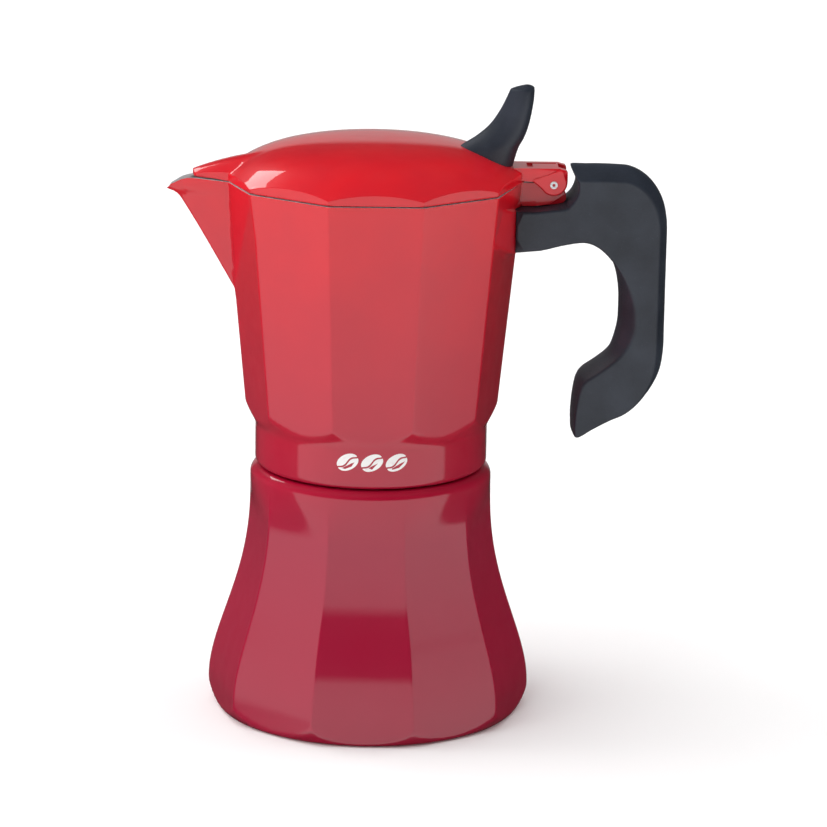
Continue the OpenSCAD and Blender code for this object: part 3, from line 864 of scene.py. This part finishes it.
def half_bean(centre, side, n=20):
    """Outline of a tilted coffee bean's half, on one side of its wavy seam."""
    tilt, middle_z, gap = math.radians(28), 88.2, 0.28
    turns = [math.pi * i / n for i in range(n + 1)]
    outline = [(3.5 * math.cos(a), side * (gap + 2.2 * math.sin(a))) for a in turns]
    outline += [(mix(-3.3, 3.3, i / n), side * gap + 0.55 * math.sin(math.pi * mix(-1, 1, i / n)))
                for i in range(1, n)]
    return [(centre + u * math.cos(tilt) - v * math.sin(tilt),
             middle_z + u * math.sin(tilt) + v * math.cos(tilt)) for u, v in outline]


def beans():
    """Emblem on the collar's front: three plain coffee beans in a row, printed in white."""
    points, faces = collar_print([half_bean(c, side) for c in (-7.6, 0.0, 7.6) for side in (-1, 1)])
    make("bean_print", points, faces, "collector", [WHITE], crisp=True)


# ------------------------------------------------------------------ lid

CROWN_Z, LID_LOW_Z = 182.4, 169.95
LID_WALL, LID_RIM, LID_ROUND = 2.2, 2.6, 0.3
# Height of the nose's ridge by distance from the axis.
RIDGE = [(34, 178.2), (44.5, 176.1), (52, 174.0), (56.5, 172.4)]


def dome_z(r):
    """Height of the lid's dome at distance r from the axis."""
    return CROWN_Z - 0.0019 * r * r - 0.00315 * (r / 10) ** 5


def nose_w(x):
    """Half width of the lid's nose at distance x from the axis."""
    return table([(44, 8.6), (45.1, 8.2), (55, 4.0), (56.4, 2.6)], x)


def lid_z(x, y):
    """Height of the lid's top: dome, nose ridge and the flat beside the hinge."""
    z = dome_z(math.hypot(x, y))
    if x < -30:
        share = abs(y) / nose_w(-x)
        roof = table(RIDGE, -x) - mix(1.1, 3.1, clamp((56.4 + x) / 11.3)) * share ** 2.2
        z = soft_max(z, roof, 0.8)
    if x > 36:
        flat = 174.9 - 0.55 * max(0.0, x - 42.5) - 0.3 * max(0.0, abs(y) - 7)
        z = soft_max(z, flat, 0.3)
    return z


def lid_r(a):
    """Outer radius of the lid, which follows the jug's rim."""
    off = from_keel(a)
    if from_handle(a) < SIDE:
        x, y = math.cos(math.radians(a)), abs(math.sin(math.radians(a)))
        beside_hinge = min(43.81 / (0.9315 * x + 0.3636 * y) + 0.85, 46.5 / x)
        return soft_min(max(beside_hinge, decagon(a, JUG_R1)), decagon(a, JUG_R1) + 1.3, EDGE)
    if off > SIDE + 4:
        return decagon(a, JUG_R1)
    own = JUG_R1 * COS_HALF / math.cos(math.radians(1.5 * SIDE - off))
    folded = math.radians(180 - off)
    r = soft_min(max(JUG_R1 * COS_HALF / math.cos(math.radians(off - SIDE / 2)),
                     to_plane(FLARE, folded, RIM_Z)), own, EDGE)
    if off < SPOUT_REACH:
        ray = Vector((math.cos(math.radians(off)), math.sin(math.radians(off))))
        side = Vector((10.1, -4.3)).normalized()
        reach = abs(ROOT_X * side.y - ROOT_W * side.x)
        wedge = reach / abs(ray.x * side.y - ray.y * side.x)
        tip = 56.4 / math.cos(math.radians(off)) - 0.055 * off * off
        r = soft_max(r, soft_min(wedge, tip, 0.9), 0.3)
    return r


def lid_low_z(a):
    """Height of the lid's lower edge, lifted over the spout."""
    return LID_LOW_Z + 0.55 * smooth((11 - from_keel(a)) / 5)


def lid_top_z(a, r):
    """Height of the lid's top at angle a and distance r."""
    return lid_z(r * math.cos(math.radians(a)), r * math.sin(math.radians(a)))


def top_row(share, inset):
    """Row of the lid's top, a share of the way from the axis to the edge."""
    def row(a):
        r = share * (lid_r(a) - inset)
        return r, lid_top_z(a, r)
    return row


def skirt_row(share):
    """Row of the lid's side, from the lower edge at 0 to the top at 1."""
    def row(a):
        r = lid_r(a)
        return r, mix(lid_low_z(a), lid_top_z(a, r - LID_ROUND) - LID_ROUND, share)
    return row


def hem_row(inset, lift):
    """Row round the lid's lower edge."""
    return lambda a: (lid_r(a) - inset, lid_low_z(a) + lift)


def under_row(share):
    """Row of the lid's underside, a share of the way from the axis to the rim."""
    def row(a):
        r = share * (lid_r(a) - LID_RIM)
        return r, max(lid_top_z(a, r) - LID_WALL, lid_low_z(a) + 0.5)
    return row


def lid():
    """Shell of the lid, from the middle of its top round the edge to the middle of its underside."""
    extra = both_sides(180, (3.2, 3.6, 4, 4.4, 5.6, 6.6, 7.4, 8.8, 9.4, 9.8, 10.2, 10.6, 11, 11.5, 14, 16))
    top = [top_row(0.03 + 0.97 * i / 40, LID_ROUND) for i in range(41)]
    corner = [lambda a: (lid_r(a) - 0.09, lid_top_z(a, lid_r(a) - LID_ROUND) - 0.09)]
    skirt = [skirt_row(share) for share in (1, 0.8, 0.6, 0.4, 0.2)]
    hem = [hem_row(0, 0.35), hem_row(0.1, 0.1), hem_row(0.35, 0), hem_row(LID_RIM - 0.3, 0),
           hem_row(LID_RIM, 0.3)]
    under = [under_row(1 - 0.97 * i / 24) for i in range(25)]
    points, faces, row_of = lathe(top + corner + skirt + hem + under, ring_angles(0, extra))
    red = len(top) + len(corner) + len(skirt) + 2
    slots = [0 if j < red else 1 for j in row_of]
    obj = make("lid_shell", points, faces, "lid", [RED, ALU], slots)
    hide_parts("lid")
    even_normals(obj)


BAR_TOP, BAR_LOW, LOBE_R, BAR_HALF = 174.8, 170.6, 4.3, 6.65


def hinge_bar():
    """Bar across the back of the lid, with a slot in its top and two rounded cheeks."""
    lobe = arc(PIN_X, BAR_TOP - LOBE_R, LOBE_R, -150, 0, 18)
    end = [(PIN_X + LOBE_R, 173.6), (59.3, 174.2), (58.2, 174.45), (57.2, BAR_TOP)]
    outline = [(37, BAR_TOP), (37, 171.4), (49, BAR_LOW)] + lobe + end
    points, faces = slab(outline[::-1], BAR_HALF, 0.8)
    bar = make("hinge_bar", points, faces, "lid", [RED])
    cut(bar, [((47.5, -3.3, 150), (70, 3.3, 173.3)), ((56.9, -3.3, 150), (70, 3.3, 180)),
              ((47.2, 2.2, 173.9), (56.4, 3.5, 176)), ((47.2, -3.0, 173.9), (49.0, 3.0, 176))])
    even_normals(bar, 35)


# ------------------------------------------------------------------ handle and knob

ARM_X = 43.8
HANDLE_HALF = 11.0
HANDLE_CROWN = 3.0
HOLLOW_R, HOLLOW_MIDDLE_R = 7.6, 6.95


def hollow_edge(steps=8):
    """The handle's hollow round the hinge, which is closer to the pin at the middle of its width."""
    edge = []
    for i, (x, z) in enumerate(arc(PIN_X, PIN_Z, HOLLOW_R, -62, 18, steps)):
        t = i / steps
        a = math.radians(mix(-62, 18, t) + 27 * t ** 2)
        r = mix(HOLLOW_MIDDLE_R, HOLLOW_R, smooth(t))
        edge.append((x, z, PIN_X + r * math.cos(a) - x, PIN_Z + r * math.sin(a) - z))
    return edge


def handle_outline():
    """Side view of the handle, clockwise: x, z and their shift at the middle of the width."""
    outline = [(ARM_X, 149, 0, 0), (ARM_X, 161.9, 0, 0.4), (50, 162, 0, 0)] + hollow_edge()
    outline += [(66, 172.25, -0.6, HANDLE_CROWN), (71, 172.3, 0, HANDLE_CROWN), (76, 172.1, 0, HANDLE_CROWN)]
    for a in (math.radians(90 - 90 * i / 8) for i in range(1, 8)):
        outline.append((76 + 12.2 * math.cos(a), 157 + 15.2 * math.sin(a),
                        HANDLE_CROWN * math.cos(a), HANDLE_CROWN * math.sin(a)))
    outline += [(88.4, z, HANDLE_CROWN, 0) for z in (156, 148, 140, 132, 124, 118)]
    for a in (math.radians(-75 * i / 7) for i in range(1, 8)):
        outline.append((70 + 18.2 * math.cos(a), 116 + 21 * math.sin(a), HANDLE_CROWN * math.cos(a) ** 2, 0))
    return outline + [
        (69, 92.6, 0, 0), (65.2, 90.2, 0, 0), (63.7, 90.4, -0.6, 0), (63.5, 92.5, -0.7, 0),
        (63.6, 96, -0.9, 0), (64.4, 102.5, -1.2, 0), (66.1, 107.6, -1.6, 0.2), (70.1, 110.6, -1.6, 0.6),
        (74.1, 113.6, -2.2, 0.4), (77.6, 116.8, -3.4, 0), (80.2, 120.6, -4.6, 0), (81.8, 125.5, -5.2, 0),
        (81.6, 131, -4.8, 0), (80, 136.4, -3.4, 0), (77.2, 142, -1.6, 0), (74, 146.6, -0.4, 0),
        (70.4, 150.2, 0, 0), (67, 152, 0, 0), (63.6, 152.3, 0, 0), (57.5, 151.2, 0, 0), (51.4, 149.7, 0, 0)]


def handle():
    """Hooked handle: flat sides, a crowned back and a scooped grip."""
    outline = handle_outline()
    n, per_span = len(outline), 3
    loop = []
    for i in range(n):
        a, b, c, d = (outline[(i + k) % n] for k in (-1, 0, 1, 2))
        for t in (step / per_span for step in range(per_span)):
            if i in (0, 1, n - 1):
                loop.append(tuple(mix(q, r, t) for q, r in zip(b, c)))
            else:
                loop.append(catmull_rom(a, b, c, d, t))
    lean = [p[2:] for p in loop]
    points, faces = slab(loop, HANDLE_HALF, 0.8, (9.2, 7.6, 6, 4.4, 2.2), lean)
    obj = make("handle_grip", points, faces, "collector", [BLACK])
    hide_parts("handle")
    even_normals(obj, 60)


# z, inner x, outer x and half width of the knob's sections.
TOP = 200.7
KNOB_SECTIONS = [
    (TOP - 26, 21, 42.8, 8.5), (TOP - 20, 26.6, 44.6, 8.2), (TOP - 17, 31.2, 46.2, 7.7),
    (TOP - 13.2, 35.5, 47.5, 7.1), (TOP - 8.4, 38.7, 48.5, 6.4), (TOP - 4.5, 40.6, 49.0, 5.7),
    (TOP - 2.4, 41.5, 49.1, 5.2)]


def knob():
    """Thumb knob that leans back, with a slanting top."""
    n, steps = 64, 30
    rings = []
    for i in range(steps + 1):
        z = mix(KNOB_SECTIONS[0][0], KNOB_SECTIONS[-1][0], i / steps)
        inner, outer, half = (table([(k[0], k[c]) for k in KNOB_SECTIONS], z) for c in (1, 2, 3))
        rings.append([knob_point(2 * math.pi * j / n, inner, outer, half, z) for j in range(n)])
    rim = rings[-1]
    for share, lift in ((0.97, 0.25), (0.9, 0.42), (0.7, 0.7), (0.4, 1.0), (0.12, 1.15)):
        rings.append([(mix(46.4, x, share), y * share, z + lift + 0.6 * (x - 41.5) / 7.6)
                      for x, y, z in rim])
    points, faces, _ = skin(rings)
    obj = make("knob", points, faces, "lid", [BLACK])
    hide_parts("lid_knob")
    even_normals(obj, 60)


def knob_point(a, inner, outer, half, z):
    """Point of an egg-shaped section, wider at its outer end."""
    x = mix(inner, outer, 0.5 + 0.5 * math.cos(a))
    return x, half * math.sin(a) * (1 + 0.35 * math.cos(a)), z


# ------------------------------------------------------------------ studio


def lamp(kind, name, place, energy):
    """A light at place, in metres, that faces the pot's middle."""
    data = bpy.data.lights.new(name, kind)
    data.energy = energy
    obj = bpy.data.objects.new(name, data)
    bpy.context.collection.objects.link(obj)
    obj.location = place
    obj.rotation_euler = (Vector((0, 0, 0.1)) - Vector(place)).to_track_quat("-Z", "Y").to_euler()
    return obj


def soft_sun(name, place, energy, spread):
    """Even light from a wide patch of sky, which leaves no mirror image in the lacquer."""
    obj = lamp("SUN", name, place, energy)
    obj.data.angle = math.radians(spread)
    obj.visible_glossy = False


def softbox(name, place, size, energy):
    """Bright rectangle that shows in the lacquer."""
    obj = lamp("AREA", name, place, energy)
    obj.data.shape = "RECTANGLE"
    obj.data.size, obj.data.size_y = size


def combine(tree, operation, a, b):
    """Sum, product or larger of two values, each a socket or a number."""
    n = tree.nodes.new("ShaderNodeMath")
    n.operation = operation
    for socket, value in zip(n.inputs, (a, b)):
        if isinstance(value, (int, float)):
            socket.default_value = value
        else:
            tree.links.new(value, socket)
    return n.outputs[0]


def surroundings():
    """White paper and cards low in front and behind, a dim room above and to the right."""
    world = bpy.data.worlds.new("studio")
    bpy.context.scene.world = world
    world.use_nodes = True
    tree = world.node_tree
    split = tree.nodes.new("ShaderNodeSeparateXYZ")
    tree.links.new(tree.nodes.new("ShaderNodeTexCoord").outputs["Generated"], split.inputs[0])
    x, y, z = split.outputs
    low = ramp(tree, z, 0.20, 0.25, 1.15, 0)
    front = ramp(tree, y, -0.24, -0.18, 1, 0)
    behind = ramp(tree, y, 0.92, 0.97, 0, 0.3)
    left = ramp(tree, x, -0.3, -0.6, 0, 0.05)
    around = combine(tree, "MAXIMUM", combine(tree, "MAXIMUM", front, behind), left)
    glow = combine(tree, "ADD", combine(tree, "MULTIPLY", low, around), 0.03)
    tree.links.new(glow, tree.nodes["Background"].inputs["Color"])
    tree.nodes["Background"].inputs["Strength"].default_value = 1.0


def pale_floor():
    """Matte white paper under the pot."""
    half = 8.0
    floor = bpy.data.meshes.new("floor")
    corners = [(-half, -half, 0), (half, -half, 0), (half, half, 0), (-half, half, 0)]
    floor.from_pydata(corners, [], [(0, 1, 2, 3)])
    paper, tree, shader, where = nodes_of("pale_floor")
    tree.links.new(blend_colours(tree, noise(tree, where, 300, 3), (0.90, 0.90, 0.90), (0.94, 0.94, 0.94)),
                   shader.inputs["Base Color"])
    shader.inputs["Roughness"].default_value = 0.9
    shader.inputs["Specular IOR Level"].default_value = 0.1
    floor.materials.append(paper)
    obj = bpy.data.objects.new("floor", floor)
    bpy.context.collection.objects.link(obj)
    obj.visible_glossy = False


def studio():
    """Floor, surroundings and lights."""
    pale_floor()
    surroundings()
    soft_sun("key", (-1.2, -0.7, 1.5), 1.6, 70)
    soft_sun("top", (0.1, 0.5, 2.0), 2.0, 110)
    soft_sun("left", (-1.0, 0.35, 0.35), 2.0, 50)
    soft_sun("right", (1.0, 0.3, 0.35), 1.0, 50)
    softbox("window", (-0.75, 0.97, 1.06), (0.5, 0.34), 2.0)


def camera():
    """Long lens from the front and a little above."""
    distance, elevation, azimuth, roll = 1.3, 0.2524, 0.023, math.radians(0.96)
    target = Vector((0.0133, 0, 0.094657))
    level_part = math.cos(elevation)
    forward = Vector((math.sin(azimuth) * level_part, math.cos(azimuth) * level_part, -math.sin(elevation)))
    data = bpy.data.cameras.new("camera")
    data.lens = 179.54
    data.sensor_width = 36
    obj = bpy.data.objects.new("camera", data)
    bpy.context.collection.objects.link(obj)
    obj.location = target - forward * distance
    obj.rotation_mode = "QUATERNION"
    obj.rotation_quaternion = forward.to_track_quat("-Z", "Y") @ Quaternion((0, 0, 1), roll)
    bpy.context.scene.camera = obj


bpy.context.scene.view_settings.view_transform = "Standard"
boiler()
thread("boiler_thread", "boiler", NECK_R - 0.4, NECK_R + 1.5, 83.3)
valve_boss()
valve_spring()
collector()
thread("collar_thread", "collector", 33.7, 31.8, 81.55)
hinge_lug()
beans()
lid()
hinge_bar()
handle()
knob()
studio()
camera()
